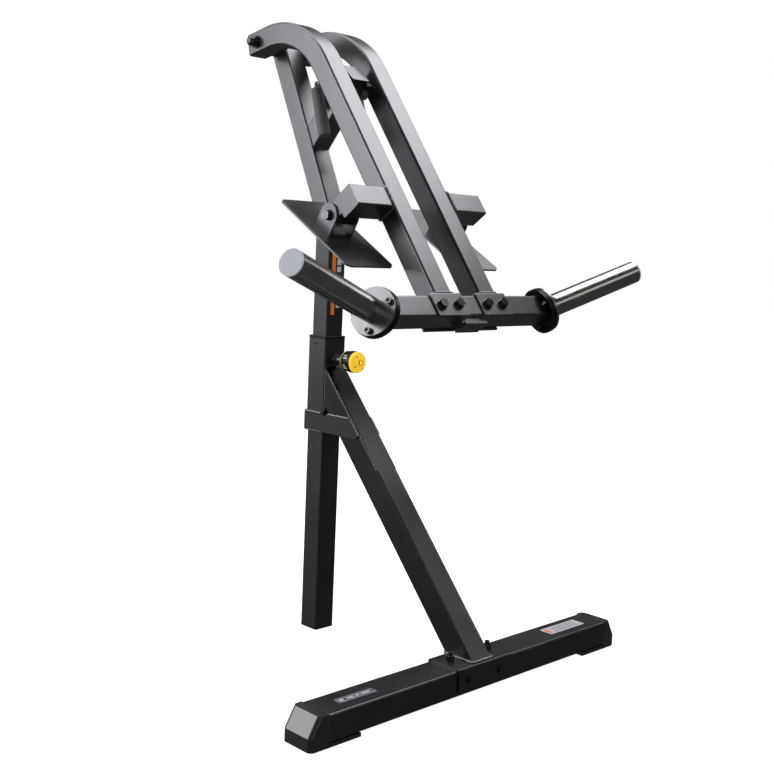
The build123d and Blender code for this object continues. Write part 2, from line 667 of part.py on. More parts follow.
def height_up_lever(edge):
    """Height of an edge's centre above the crossbar's, measured up the lever."""
    centre = edge.center()
    return (centre.Y - BAR[0]) * LEVER_UP[0] + (centre.Z - BAR[1]) * LEVER_UP[1]


def cut_bar_bolt_holes():
    for x in BAR_BOLT_X:
        bore(cross_plane(x, shift(BAR, LEVER_REAR, -50), LEVER_REAR), BAR_BOLT_R + 0.2, 100)


# U saddles that seat the lever tubes on the crossbar; the rear leg is the longer
with BuildPart() as lever_saddles:
    inner = BAR_W / 2 + GAP
    outer = inner + BAR_SADDLE_T
    for sign in SIGNS:
        with BuildSketch(bar_plane(sign * LEVER_X - 45)):
            with BuildLine():
                Polyline(
                    (-inner, -inner), (-inner, inner), (inner, inner), (inner, -inner - 4),
                    (outer, -inner - 4), (outer, outer), (-outer, outer), (-outer, -inner),
                    close=True,
                )
            make_face()
        extrude(amount=90)
    top_corners = lever_saddles.edges().filter_by(Axis.X).filter_by(
        lambda edge: (edge.center() - Vector(edge.center().X, *BAR)).length
        > sqrt(2) * outer - 0.5 and height_up_lever(edge) > 5)
    fillet(top_corners, 4.5)
    cut_bar_bolt_holes()
save(lever_saddles, "lever_saddles")


def horn_frame(sign):
    """Root, outward direction and the points where the screws cross the root plane."""
    root = Vector(sign * HORN_ROOT_X, *BAR)
    outward = Vector(sign * HORN_DIR.X, HORN_DIR.Y, HORN_DIR.Z)
    rear = Vector(0, *LEVER_REAR)
    across = (rear - outward * rear.dot(outward)).normalized()
    around = outward.cross(across)
    screws = [
        root + across * (SCREW_CIRCLE_R * cos(radians(angle)))
        + around * (SCREW_CIRCLE_R * sin(radians(angle)))
        for angle in SCREW_ANGLES
    ]
    return root, outward, screws


def horn_plane(point, outward, distance):
    """Plane facing out along a horn, at a distance along it from a point."""
    return Plane(origin=point + outward * distance, z_dir=outward)


with BuildPart() as lever_crossbar:
    with BuildSketch(bar_plane(-300)):
        tube_section(BAR_W, BAR_W, BAR_WALL, 5, 2.5)
    extrude(amount=600)
    # ends cut on the inner faces of the flanges
    for sign in SIGNS:
        root, outward, _ = horn_frame(sign)
        split(bisect_by=horn_plane(root, outward, -FLANGE_HALF_T - GAP), keep=Keep.BOTTOM)
    cut_bar_bolt_holes()
save(lever_crossbar, "lever_crossbar")

with BuildPart() as crossbar_bolts:
    for x in BAR_BOLT_X:
        hex_bolt((x, *shift(BAR, LEVER_REAR, -BAR_BOLT_SEAT)),
                 (0, -LEVER_REAR[0], -LEVER_REAR[1]), BAR_BOLT_R, 58.1 + 15,
                 flats=BAR_BOLT_FLATS, head_height=7.5, washer_radius=12, washer_thickness=2)
save(crossbar_bolts, "crossbar_bolts")

with BuildPart() as crossbar_nuts:
    for x in BAR_BOLT_X:
        hex_nut((x, *shift(BAR, LEVER_REAR, BAR_BOLT_SEAT)), (0, *LEVER_REAR), BAR_BOLT_R,
                flats=BAR_BOLT_FLATS, height=10, washer_radius=12, washer_thickness=2)
save(crossbar_nuts, "crossbar_nuts")

# block with a front lip, on the crossbar's lower face near the middle
with BuildPart() as centre_plate:
    with BuildSketch(bar_plane(-42.7)):
        with BuildLine():
            Polyline((-18, -BAR_W / 2 - FIT), (10, -BAR_W / 2 - FIT), (10, -44.5),
                     (-25, -44.5), (-25, -38), (-18, -38), close=True)
        make_face()
    extrude(amount=65.4)
    bottom_edges = centre_plate.edges().filter_by(Axis.X).filter_by(
        lambda edge: height_up_lever(edge) < -44)
    fillet(bottom_edges, 1.5)
save(centre_plate, "centre_plate")

# ===================================================================== horns
with BuildPart() as end_flanges:
    for sign in SIGNS:
        root, outward, screws = horn_frame(sign)
        cylinder(horn_plane(root, outward, -FLANGE_HALF_T), FLANGE_R, 2 * FLANGE_HALF_T)
        for screw in screws:
            bore(horn_plane(screw, outward, -10), SCREW_HOLE_R, 20)
save(end_flanges, "end_flanges")

for side, sign in SIDES:
    root, outward, screws = horn_frame(sign)
    with BuildPart() as weight_horn:
        cylinder(horn_plane(root, outward, FLANGE_HALF_T + GAP), FLANGE_R - 1.5, 6)
        cylinder(horn_plane(root, outward, HORN_BASE_TOP), HORN_R,
                 HORN_LEN - HORN_BASE_TOP - 3.5, hole=HORN_R - 3.2)
        for screw in screws:
            bore(horn_plane(screw, outward, 4), SCREW_HOLE_R, 12)
    save(weight_horn, "weight_horn_" + side)

with BuildPart() as horn_end_caps:
    for sign in SIGNS:
        root, outward, _ = horn_frame(sign)
        plane = horn_plane(root, outward, HORN_LEN - HORN_CAP_T)
        cylinder(plane, HORN_R, HORN_CAP_T)
        cylinder(plane, HORN_R - 3.3, -12)
    outer_rims = horn_end_caps.edges().filter_by(GeomType.CIRCLE).filter_by(
        lambda edge: abs(edge.radius - HORN_R) < 0.1
        and abs(edge.center().X) > HORN_ROOT_X + HORN_DIR.X * (HORN_LEN - 1))
    fillet(outer_rims, 1.2)
save(horn_end_caps, "horn_end_caps")

# cap screws with hexagon sockets
with BuildPart() as flange_screws:
    head_seat, head_height = HORN_BASE_TOP + 0.04, 8
    for sign in SIGNS:
        _, outward, screws = horn_frame(sign)
        for screw in screws:
            seat = horn_plane(screw, outward, head_seat)
            cylinder(seat, 6.6, head_height)
            hexagon(seat.offset(head_height), 6.8, -4, mode=Mode.SUBTRACT)
            cylinder(seat, 4.0, -30)
save(flange_screws, "flange_screws")

with BuildPart() as flange_nuts:
    for sign in SIGNS:
        _, outward, screws = horn_frame(sign)
        for screw in screws:
            hex_nut(screw - outward * (FLANGE_HALF_T + 0.04), outward * -1, 4.0,
                    flats=12, height=7)
save(flange_nuts, "flange_nuts")

# ================================================= side arms and lugs for the pads
SIDE_ARM_W, SIDE_ARM_WALL, SIDE_ARM_END_T = 50.0, 2.5, 3.0
with BuildPart() as side_arms:
    root_x = LEVER_OUTER_X + GAP
    arm_length = ARM_OUTER_X - root_x
    inside = SIDE_ARM_W - 2 * SIDE_ARM_WALL
    for sign in SIGNS:
        plane = Plane(origin=(sign * root_x, *lever_point(732.5, 25)),
                      x_dir=(0, *LEVER_REAR), z_dir=(sign, 0, 0))
        with BuildSketch(plane):
            RectangleRounded(SIDE_ARM_W, SIDE_ARM_W, 4)
        extrude(amount=arm_length)
        with BuildSketch(plane):
            RectangleRounded(inside, inside, 2)
        extrude(amount=arm_length - SIDE_ARM_END_T, mode=Mode.SUBTRACT)
save(side_arms, "side_arms")

PAD_PIVOT = lever_point(PAD_ALONG, PAD_BEHIND)
PAD_BOLT_R = 6.0
PAD_LUG_X0, PAD_LUG_X1, PAD_LUG_R = 140.5, 194.3, 17.0
with BuildPart() as pad_pivot_lugs:
    lug_foot = lever_point(PAD_ALONG, 50.03)         # on the rear face of the side arm
    foot_top = shift(lug_foot, LEVER_UP, PAD_LUG_R)
    foot_bottom = shift(lug_foot, LEVER_UP, -PAD_LUG_R)
    round_top = shift(PAD_PIVOT, LEVER_UP, PAD_LUG_R)
    round_rear = shift(PAD_PIVOT, LEVER_REAR, PAD_LUG_R)
    round_bottom = shift(PAD_PIVOT, LEVER_UP, -PAD_LUG_R)
    for sign in SIGNS:
        with BuildSketch(side_plane(min(sign * PAD_LUG_X0, sign * PAD_LUG_X1))):
            with BuildLine():
                Line(foot_top, round_top)
                ThreePointArc(round_top, round_rear, round_bottom)
                Polyline(round_bottom, foot_bottom, foot_top)
            make_face()
            with Locations(PAD_PIVOT):
                Circle(PAD_BOLT_R + 0.06, mode=Mode.SUBTRACT)
        extrude(amount=PAD_LUG_X1 - PAD_LUG_X0)
save(pad_pivot_lugs, "pad_pivot_lugs")

# ================================================= pad clevises and plates
PAD_BACK = (cos(radians(PAD_TILT)), sin(radians(PAD_TILT)))  # along the plate to the rear
PAD_DOWN = (PAD_BACK[1], -PAD_BACK[0])                       # down through the plate
PAD_UP = (-PAD_DOWN[0], -PAD_DOWN[1])


def pad_plane(x):
    """Plane at the pad pivot: local x to the rear along the plate, local y away from it."""
    return Plane(origin=(x, *PAD_PIVOT), x_dir=(0, *PAD_BACK), z_dir=(1, 0, 0))


def pad_point(back, down):
    """Point behind the pad pivot along the plate, and down from the pivot towards it."""
    return shift(shift(PAD_PIVOT, PAD_BACK, back), PAD_DOWN, down)


def cut_pad_screw_holes(sign):
    for back, x in PAD_SCREWS:
        bore(cross_plane(sign * x, pad_point(back, 20), PAD_DOWN), PAD_SCREW_HOLE_R, 30)


for side, sign in SIDES:
    # U with two round-topped ears
    with BuildPart() as pad_clevis:
        x0, x1 = sorted((sign * EAR_OUTER[1], sign * EAR_INNER[0]))
        with BuildSketch(pad_plane(x0)):
            with BuildLine():
                Line((-EAR_R, -PAD_DROP), (EAR_R, -PAD_DROP))
                Line((EAR_R, -PAD_DROP), (EAR_R, 0))
                ThreePointArc((EAR_R, 0), (0, EAR_R), (-EAR_R, 0))
                Line((-EAR_R, 0), (-EAR_R, -PAD_DROP))
            make_face()
            Circle(PAD_BOLT_R + GAP, mode=Mode.SUBTRACT)
        extrude(amount=x1 - x0)
        # clear the inside of the U down to a 4 mm floor
        x0, x1 = sorted((sign * EAR_OUTER[0], sign * EAR_INNER[1]))
        with BuildSketch(pad_plane(x0)):
            with Locations((0, 16)):
                Rectangle(60, 94)
        extrude(amount=x1 - x0, mode=Mode.SUBTRACT)
        cut_pad_screw_holes(sign)
    save(pad_clevis, "pad_clevis_" + side)

    with BuildPart() as pad_plate:
        centre = pad_point((PAD_REAR - PAD_FRONT) / 2, PAD_DROP + 0.03)
        with BuildSketch(cross_plane(sign * (PAD_X0 + PAD_X1) / 2, centre, PAD_DOWN)):
            RectangleRounded(PAD_X1 - PAD_X0, PAD_REAR + PAD_FRONT, 14)
        extrude(amount=PAD_T)
        cut_pad_screw_holes(sign)
    save(pad_plate, "pad_plate_" + side)

    with BuildPart() as pad_bolt:
        hex_bolt((sign * (EAR_OUTER[1] + 0.03), *PAD_PIVOT), (sign, 0, 0), PAD_BOLT_R,
                 EAR_OUTER[1] - EAR_INNER[0] + 0.06 + 13,
                 flats=19, head_height=7.5, washer_radius=12, washer_thickness=2)
        hex_nut((sign * (EAR_INNER[0] - 0.03), *PAD_PIVOT), (-sign, 0, 0),
                PAD_BOLT_R + GAP, flats=19, height=10)
    save(pad_bolt, "pad_bolt_" + side)

    with BuildPart() as pad_screws:
        for back, x in PAD_SCREWS:
            seat = cross_plane(sign * x, pad_point(back, 30.97), PAD_UP)
            with BuildSketch(seat):
                Circle(5.5)
            extrude(amount=2.6, taper=22)
            cylinder(seat, 3.0, -12)
    save(pad_screws, "pad_screws_" + side)
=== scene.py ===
"""A floor-standing lever machine: a stand with a sloping brace, a column, two levers and
two weight horns. X runs from left to right, the front faces -Y, and the floor is Z = 0.
The CAD pieces get materials here, and weld beads, prints and labels are added to them."""
import bpy
import bmesh
import json
import math
from mathutils import Matrix, Vector
from mathutils.bvhtree import BVHTree


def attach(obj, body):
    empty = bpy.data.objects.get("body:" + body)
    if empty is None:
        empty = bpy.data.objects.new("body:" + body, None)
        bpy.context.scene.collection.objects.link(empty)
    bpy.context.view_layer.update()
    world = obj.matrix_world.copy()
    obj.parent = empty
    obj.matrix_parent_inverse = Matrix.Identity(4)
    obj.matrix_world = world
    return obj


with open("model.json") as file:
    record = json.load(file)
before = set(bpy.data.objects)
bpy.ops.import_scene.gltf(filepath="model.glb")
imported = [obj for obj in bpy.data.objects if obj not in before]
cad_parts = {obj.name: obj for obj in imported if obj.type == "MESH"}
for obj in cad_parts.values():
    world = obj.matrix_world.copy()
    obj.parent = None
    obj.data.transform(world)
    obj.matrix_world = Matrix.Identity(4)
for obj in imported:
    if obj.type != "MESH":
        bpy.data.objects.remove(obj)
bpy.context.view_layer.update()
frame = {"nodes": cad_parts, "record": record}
cad_nodes = frame["nodes"]
scene = bpy.context.scene
scene.view_settings.view_transform = "Standard"

# Places and lengths are millimetres in the mesh sections, and metres in materials and staging.
MM = 0.001
ACROSS = Vector((1, 0, 0))
REARWARD = Vector((0, 1, 0))
UPWARD = Vector((0, 0, 1))

# The sloping brace: its foot (mm), its direction up to the rear, and its front face's normal.
BRACE_FOOT = (0, -527.0, 62.3)
BRACE_ALONG = (0, 0.6604, 0.7509)
BRACE_OUT = (0, -0.7509, 0.6604)


# ------------------------------------------------------------------ node helpers
class NodeGraph:
    """Builds a node tree. An input is given either a value or another node's output."""

    def __init__(self, tree):
        self.tree = tree
        tree.nodes.clear()

    def feed(self, socket, value):
        if hasattr(value, "links"):
            self.tree.links.new(value, socket)
        elif socket.type == "RGBA":
            socket.default_value = (*value, 1.0)
        else:
            socket.default_value = value

    def node(self, kind, inputs=None, **settings):
        node = self.tree.nodes.new("ShaderNode" + kind)
        for key, value in settings.items():
            setattr(node, key, value)
        for key, value in (inputs or {}).items():
            self.feed(node.inputs[key], value)
        return node

    def math(self, operation, *values):
        return self.node("Math", dict(enumerate(values)), operation=operation).outputs[0]

    def plus(self, a, b):
        return self.math("ADD", a, b)

    def times(self, a, b):
        return self.math("MULTIPLY", a, b)

    def vector(self, operation, a, b):
        node = self.node("VectorMath", {0: a, 1: b}, operation=operation)
        return node.outputs["Value" if operation == "DOT_PRODUCT" else "Vector"]

    def remap(self, value, to=(0, 1), over=(0.3, 0.7)):
        """Carries the range `over` to the range `to`; by default, a noise's middle range."""
        return self.node("MapRange", {
            "From Min": over[0], "From Max": over[1],
            "To Min": to[0], "To Max": to[1], "Value": value}).outputs[0]

    def ramp(self, value, stops, blue=1.0):
        """Greys from (position, grey) stops; `blue` scales their blue."""
        node = self.node("ValToRGB", {0: value})
        elements = node.color_ramp.elements
        while len(elements) < len(stops):
            elements.new(0.5)
        for element, (position, grey) in zip(elements, stops):
            element.position = position
            element.color = (grey, grey, grey * blue, 1.0)
        return node.outputs[0]

    def mix(self, factor, a, b):
        return self.node("Mix", {0: factor, 6: a, 7: b}, data_type="RGBA").outputs[2]


class Material(NodeGraph):
    """A principled material textured in object coordinates."""

    def __init__(self, name):
        self.material = bpy.data.materials.new(name)
        self.material.use_nodes = True
        super().__init__(self.material.node_tree)
        self.shader = self.node("BsdfPrincipled")
        self.node("OutputMaterial", {0: self.shader.outputs[0]})
        self.position = self.node("TexCoord").outputs["Object"]

    def finish(self, **inputs):
        """Sets shader inputs, with underscores for spaces, and returns the material."""
        for key, value in inputs.items():
            self.feed(self.shader.inputs[key.replace("_", " ")], value)
        return self.material

    def noise(self, scale, detail=4, rough=0.6, vector=None):
        return self.node("TexNoise", {
            "Scale": scale, "Detail": detail, "Roughness": rough,
            "Vector": vector or self.position}).outputs["Fac"]

    def bump(self, height, strength, distance):
        return self.node("Bump", {
            "Strength": strength, "Distance": distance, "Height": height}).outputs[0]

    def facing(self, direction):
        """1 where the surface looks along the direction."""
        normal = self.node("NewGeometry").outputs["Normal"]
        return self.vector("DOT_PRODUCT", normal, direction)

    def edges(self, radius=0.0016):
        """0 on flats, rising to 1 along sharp and rounded corners."""
        rounded = self.node("Bevel", {"Radius": radius}, samples=4).outputs[0]
        normal = self.node("NewGeometry").outputs["Normal"]
        return self.remap(self.vector("DOT_PRODUCT", rounded, normal),
                          to=(1.0, 0.0), over=(0.80, 0.995))

    def combine(self, *parts):
        return self.node("CombineXYZ", dict(enumerate(parts))).outputs[0]

    def separate(self, vector):
        return self.node("SeparateXYZ", {0: vector}).outputs

    def local(self, origin, axes):
        """The x, y and z of the position in a frame with this origin and these unit axes."""
        offset = self.vector("SUBTRACT", self.position, origin)
        parts = [self.vector("DOT_PRODUCT", offset, axis) for axis in axes]
        return self.separate(self.combine(*parts))


def tint(colour, factor, add=0.0):
    return tuple(min(1.0, c * factor + add) for c in colour)


# ------------------------------------------------------------------ materials
BLACK = (0, 0, 0)
WHITE = (1, 1, 1)
# Pale grey for worn edges, also a painted edge highlight on the coat.
WORN_EDGE_AND_SHEEN = (0.5, 0.5, 0.52)


def powder_base(m, base, blotch_dark):
    """Blotched, flecked powder coat: its colour, broad noise, fine grain and normal."""
    broad = m.noise(scale=5.5, detail=5)
    grain = m.noise(scale=1500, detail=2)
    peel = m.noise(scale=420, detail=3, rough=0.5)
    colour = m.mix(m.remap(broad), tint(base, blotch_dark), tint(base, 1.12))
    flecks = m.remap(grain, to=(0.0, 0.22), over=(0.35, 0.8))
    colour = m.mix(flecks, colour, tint(base, 1.9))
    height = m.plus(m.times(peel, 0.7), m.times(grain, 0.45))
    return colour, broad, grain, m.bump(height, strength=0.22, distance=0.00035)


def powder(name, base=(0.235, 0.237, 0.248), rough=(0.29, 0.38), edge_wear_and_sheen=0.35, inner=False):
    """Powder coat with worn edges, partly a painted edge highlight; `inner` paints shade on the
    face turned to the other lever.
    """
    m = Material(name)
    colour, broad, grain, normal = powder_base(m, base, blotch_dark=0.82)
    patchy = m.remap(m.noise(scale=60, rough=0.55), to=(0.25, 1.0), over=(0.38, 0.62))
    # Worn edges, made paler towards the grey: real wear, and also painted edge highlight.
    worn = m.times(m.edges(), patchy)
    colour = m.mix(m.times(worn, edge_wear_and_sheen), colour, WORN_EDGE_AND_SHEEN)
    if inner:
        face = m.remap(m.facing((-1, 0, 0)), over=(0.6, 0.9))
        # Painted shade: how much light reaches the face, less lower down where the levers run
        # close together.
        lit = m.remap(m.separate(m.position)[2], to=(1.0, 0.12), over=(1.34, 1.16))
        shade = m.times(face, m.math("SUBTRACT", 1.0, lit))
        # Painted shade: the face is mixed towards near-black where little light reaches it.
        colour = m.mix(shade, colour, (0.02, 0.02, 0.022))
    roughness = m.plus(m.remap(broad, to=rough), m.remap(grain, to=(-0.03, 0.05)))
    return m.finish(Base_Color=colour, Roughness=roughness, Metallic=0.92, Normal=normal,
                    Coat_Weight=0.12, Coat_Roughness=0.25)


# (distance up the brace in metres, brightness of the front face: painted light above 1, painted
# shade below it)
BRACE_PAINTED_LIGHT_AND_SHADE = ((0.0, 2.4), (0.15, 1.7), (0.32, 1.0), (0.50, 0.78), (0.60, 0.32), (0.68, 0.05))


def brace_painted_light_and_shade(name):
    """The stand's darker copy of the powder coat, with painted shade on its front face under the
    collar and painted light lower down.
    """
    m = Material(name)
    colour, broad, _, normal = powder_base(m, (0.14, 0.142, 0.15), blotch_dark=0.85)
    # Painted light and shade: the front face's colour is scaled by the stops along the brace, the
    # other faces by a fixed 0.62.
    front = m.remap(m.facing(BRACE_OUT), over=(0.7, 0.95))
    foot = tuple(c * MM for c in BRACE_FOOT)
    along = m.local(foot, (BRACE_ALONG, (1, 0, 0), BRACE_OUT))[0]
    other_faces = (0.62, 0.62, 0.62)
    shade = m.mix(front, other_faces, m.ramp(along, BRACE_PAINTED_LIGHT_AND_SHADE))
    colour = m.vector("MULTIPLY", colour, shade)
    # Worn edges, also painted edge highlight along the brace's corners.
    colour = m.mix(m.times(m.edges(radius=0.0022), 0.5), colour, WORN_EDGE_AND_SHEEN)
    return m.finish(Base_Color=colour, Roughness=m.remap(broad, to=(0.30, 0.40)),
                    Metallic=0.92, Normal=normal)


def polished_horn(name, side):
    """Turned steel horn: fine rings round its own axis, and a bright machined flange."""
    m = Material(name)
    axis = Vector((side * 0.9213, -0.2121, 0.3259)).normalized()
    upright = (UPWARD - axis * UPWARD.dot(axis)).normalized()
    x, y, along = m.local((side * 0.2507, -0.42204, 0.78058),
                          (upright, axis.cross(upright), axis))
    radius = m.math("SQRT", m.plus(m.times(x, x), m.times(y, y)))
    flange = m.remap(radius, over=(0.0256, 0.0260))
    turned = m.combine(along, radius)
    barrel_rings = m.noise(scale=1.0, rough=0.7,
                           vector=m.vector("MULTIPLY", turned, (900, 0, 0)))
    flange_rings = m.noise(scale=1.0, detail=3, rough=0.7,
                           vector=m.vector("MULTIPLY", turned, (0, 1500, 0)))
    rings = m.mix(flange, m.mix(barrel_rings, BLACK, WHITE), m.mix(flange_rings, BLACK, WHITE))
    spots = m.noise(scale=45)
    colour = m.mix(m.remap(spots, over=(0.35, 0.7)), (0.52, 0.50, 0.47), (0.64, 0.62, 0.59))
    colour = m.mix(flange, colour, (0.46, 0.46, 0.475))
    roughness = m.plus(m.remap(rings, to=(0.12, 0.26)),
                       m.remap(spots, to=(0.0, 0.06), over=(0.4, 0.7)))
    roughness = m.plus(roughness, m.times(flange, 0.10))
    return m.finish(Base_Color=colour, Metallic=1.0, Roughness=roughness, Anisotropic=0.35,
                    Normal=m.bump(rings, strength=0.12, distance=0.00012))


def flange_disc(name):
    m = Material(name)
    mottle = m.noise(scale=220, detail=3)
    edge = m.times(m.edges(radius=0.0012), 0.7)
    return m.finish(Base_Color=m.mix(edge, (0.03, 0.031, 0.034), (0.42, 0.42, 0.43)),
                    Metallic=0.9, Roughness=m.remap(mottle, to=(0.28, 0.42)),
                    Normal=m.bump(mottle, strength=0.12, distance=0.0003))


def black_steel(name, rough=(0.10, 0.20), edge=0.8, base=(0.17, 0.17, 0.178)):
    m = Material(name)
    mottle = m.noise(scale=160)
    grain = m.noise(scale=900, detail=2)
    # Painted highlight: edges mixed towards near-white stand for glints on the heads.
    colour = m.mix(m.times(m.edges(radius=0.0007), edge), base, (0.8, 0.8, 0.81))
    smudges = m.remap(mottle, to=(0, 0.3), over=(0.45, 0.75))
    return m.finish(Base_Color=m.mix(smudges, colour, (0.16, 0.155, 0.15)), Metallic=0.95,
                    Roughness=m.remap(mottle, to=rough),
                    Normal=m.bump(grain, strength=0.10, distance=0.0002))


def plastic(name, base, rough, bump, scale, edge=0.25, **extra):
    """Grained plastic with paler edges; `scale` is the grain's, `extra` more shader inputs."""
    m = Material(name)
    grain = m.noise(scale=scale, detail=3)
    broad = m.noise(scale=9)
    colour = m.mix(m.remap(broad), base, tint(base, 1.25, add=0.01))
    edges = m.times(m.edges(radius=0.0012), edge)
    return m.finish(Base_Color=m.mix(edges, colour, tint(base, 2.2, add=0.05)),
                    Roughness=m.remap(broad, to=rough),
                    Normal=m.bump(grain, strength=bump, distance=0.0003), **extra)


def rubber(name):
    m = Material(name)
    grain = m.noise(scale=950, detail=3, rough=0.7)
    broad = m.noise(scale=30)
    return m.finish(Base_Color=m.mix(m.remap(broad), (0.27, 0.27, 0.282), (0.36, 0.36, 0.378)),
                    Roughness=m.remap(broad, to=(0.48, 0.62)), Sheen_Weight=0.25,
                    Normal=m.bump(grain, strength=0.35, distance=0.0004))


def mottled_metal(name, noise, dark, light, metal, rough, bump):
    m = Material(name)
    mottle = m.noise(**noise)
    return m.finish(Base_Color=m.mix(mottle, dark, light), Metallic=metal,
                    Roughness=m.remap(mottle, to=rough), Normal=m.bump(mottle, **bump))


def print_ink(name, colour, **extra):
    m = Material(name)
    mottle = m.noise(scale=90)
    grain = m.noise(scale=1100, detail=2)
    return m.finish(Base_Color=m.mix(m.remap(mottle), tint(colour, 0.86), colour),
                    Roughness=m.remap(mottle, to=(0.36, 0.50)),
                    Normal=m.bump(grain, strength=0.12, distance=0.0002), **extra)


POWDER = powder("powder_coat")
# A darker copy of the levers' coat for the stand's parts: painted shade. Its stronger worn edges
# are partly painted highlight.
STAND_POWDER_SHADED = powder("powder_coat_stand_painted_shade", base=(0.145, 0.147, 0.155), rough=(0.30, 0.40),
                      edge_wear_and_sheen=0.5)
# The right lever's coat has painted shade on its inner face.
RIGHT_LEVER_PAINTED_SHADE = powder("powder_coat_right_lever_painted_shade", inner=True)
# The brace's coat has painted light and shade on its front face.
BRACE = brace_painted_light_and_shade("powder_coat_brace_painted_light_and_shade")
BOLTS = black_steel("black_bolts")
DOME_NUT = black_steel("black_dome_nut", rough=(0.22, 0.30), edge=0.15,
                       base=(0.20, 0.20, 0.21))
CAPS = plastic("black_plastic", base=(0.022, 0.022, 0.024), rough=(0.38, 0.52),
               bump=0.3, scale=650, Specular_IOR_Level=0.5)
BASE_CAP = plastic("black_plastic_gloss", base=(0.02, 0.02, 0.022), rough=(0.26, 0.36),
                   bump=0.2, scale=650, Specular_IOR_Level=1.0,
                   Coat_Weight=1.0, Coat_IOR=1.9, Coat_Roughness=0.22)
# Painted light: the horn cap disc glows faintly, to look brighter.
HORN_CAP_GLOWING = plastic("horn_cap_disc_painted_glow", base=(0.66, 0.69, 0.76), rough=(0.30, 0.42),
                   bump=0.15, scale=500, edge=0.5,
                   Emission_Color=(0.75, 0.78, 0.86), Emission_Strength=0.24)
FLANGE = flange_disc("flange_disc")
RUBBER = rubber("grip_rubber")
ZINC = mottled_metal("zinc_pin", noise=dict(scale=300, rough=0.7), dark=(0.42, 0.42, 0.43),
                     light=(0.62, 0.62, 0.63), metal=1.0, rough=(0.2, 0.38),
                     bump=dict(strength=0.12, distance=0.0002))
HOUSING = powder("housing_grey", base=(0.30, 0.30, 0.31), rough=(0.28, 0.38), edge_wear_and_sheen=0.5)
KNOB = plastic("knob_black", base=(0.012, 0.012, 0.013), rough=(0.22, 0.34),
               bump=0.12, scale=600)
KNOB_RING = plastic("knob_ring", base=(0.55, 0.62, 0.22), rough=(0.35, 0.45),
                    bump=0.12, scale=600)
# Painted light: the yellow knob cap glows.
KNOB_YELLOW_GLOWING = plastic("knob_yellow_painted_glow", base=(0.95, 0.66, 0.06), rough=(0.28, 0.40),
                      bump=0.12, scale=600, edge=0.3,
                      Emission_Color=(1.0, 0.64, 0.04), Emission_Strength=0.75)
WELD = mottled_metal("weld_bead", noise=dict(scale=500), dark=(0.26, 0.262, 0.27),
                     light=(0.42, 0.42, 0.43), metal=0.9, rough=(0.18, 0.32),
                     bump=dict(strength=0.2, distance=0.0003))
# Painted light: the orange and white print glow faintly.
ORANGE_INK_GLOWING = print_ink("print_orange_painted_glow", (0.90, 0.26, 0.03),
                       Emission_Color=(1.0, 0.26, 0.03), Emission_Strength=0.30)
WHITE_INK_GLOWING = print_ink("print_white_painted_glow", (0.80, 0.80, 0.83),
                      Emission_Color=(0.9, 0.92, 1.0), Emission_Strength=0.22)
SILVER_INK = print_ink("print_silver", (0.42, 0.44, 0.50))
GREY_INK = print_ink("print_grey", (0.18, 0.18, 0.19))
DARK_INK_AND_SHADE = print_ink("print_dark_and_shade", (0.015, 0.015, 0.016))

MATERIAL_BY_SLOT = {
    "powder_coat": POWDER, "black_steel": BOLTS, "zinc_steel": ZINC, "flange_black": FLANGE,
    "horn_cap": HORN_CAP_GLOWING, "cap_plastic": CAPS, "knob_ring": KNOB_RING,
    "knob_cap": KNOB_YELLOW_GLOWING, "rubber": RUBBER}
MATERIAL_BY_NODE = {
    "weight_horn_left": polished_horn("horn_steel_left", side=-1),
    "weight_horn_right": polished_horn("horn_steel_right", side=1),
    "brace_tube": BRACE, "lever_tube_right": RIGHT_LEVER_PAINTED_SHADE, "knob_body": KNOB,
    "pin_housing": HOUSING, "pivot_nut": DOME_NUT, "pivot_washers": DOME_NUT}
for stand_part in ("base_crossbar", "brace_saddle", "rear_post", "post_sleeve",
                   "collar_band", "inner_column"):
    MATERIAL_BY_NODE[stand_part] = STAND_POWDER_SHADED


def assign_materials():
    slot_of = {part["node"]: part["material_slot"] for part in frame["record"]["subparts"]}
    for name, ob in cad_nodes.items():
        if name in MATERIAL_BY_NODE:
            material = MATERIAL_BY_NODE[name]
        elif name.startswith("base_end_cap"):
            material = BASE_CAP
        else:
            material = MATERIAL_BY_SLOT[slot_of[name]]
        slots = ob.data.materials
        if not slots:
            slots.append(material)
        for i in range(len(slots)):
            slots[i] = material


assign_materials()


# ------------------------------------------------------------------ mesh helpers
def finish_mesh(bm, name, material, body, smooth=True):
    bmesh.ops.recalc_face_normals(bm, faces=bm.faces)
    mesh = bpy.data.meshes.new(name)
    bm.to_mesh(mesh)
    bm.free()
    if smooth:
        for polygon in mesh.polygons:
            polygon.use_smooth = True
    ob = bpy.data.objects.new(name, mesh)
    scene.collection.objects.link(ob)
    mesh.materials.append(material)
    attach(ob, body)
    return ob


def rounded_rect(half_width, half_height, radius):
    """The (x, y) points of a rounded rectangle, with five to each corner."""
    points = []
    for side_x, side_y, start in ((1, 1, 0), (-1, 1, 90), (-1, -1, 180), (1, -1, 270)):
        for k in range(5):
            angle = math.radians(start + 22.5 * k)
            points.append((side_x * (half_width - radius) + radius * math.cos(angle),
                           side_y * (half_height - radius) + radius * math.sin(angle)))
    return points


def rect_loop(centre, u, v, half_u, half_v, radius):
    """A rounded rectangle in space, round a centre and along the directions u and v."""
    centre, u, v = Vector(centre), u.normalized(), v.normalized()
    return [centre + u * x + v * y for x, y in rounded_rect(half_u, half_v, radius)]


# ------------------------------------------------------------------ weld beads
BEAD_STEP = 0.8
BEAD_SIDES = 10


def resample(points, step, closed):
    """Points at an even step along a polyline."""
    points = list(points)
    if closed:
        points.append(points[0])
    out = [points[0]]
    carry = 0.0
    for a, b in zip(points, points[1:]):
        length = (b - a).length
        distance = step - carry
        while distance <= length:
            out.append(a.lerp(b, distance / length))
            distance += step
        carry = length - (distance - step)
    return out


